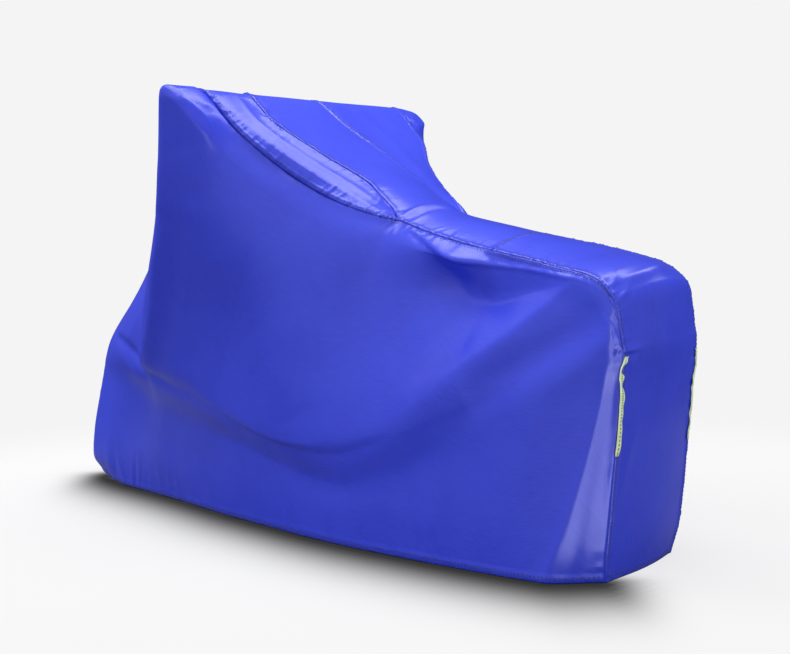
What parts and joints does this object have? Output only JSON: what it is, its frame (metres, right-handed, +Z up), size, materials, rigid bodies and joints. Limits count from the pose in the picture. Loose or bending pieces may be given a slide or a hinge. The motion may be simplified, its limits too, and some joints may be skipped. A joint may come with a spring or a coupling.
{
  "type": "motorcycle cover",
  "caption": "Fitted fabric cover for a motorcycle, tall at the handlebar and box-shaped at the tail, open along its elastic hem, with reflective strips on the rear corners.",
  "frame": {"origin": "under the middle of the seat, where the machine carries the cover", "axes": "+X along the cover towards the tail, +Y to the machine's right side, +Z up"},
  "size_m": [1.9186, 0.978, 1.1107],
  "materials": {
    "cloth": "satin",
    "reflective_tape": "satin"
  },
  "bodies": {
    "root": {"side_panel_left": "cloth", "side_panel_right": "cloth", "spine_front": "cloth", "spine_rear": "cloth", "gusset_left": "cloth", "gusset_right": "cloth", "reflective_strip_left": "reflective_tape", "reflective_strip_right": "reflective_tape"}
  },
  "joints": []
}
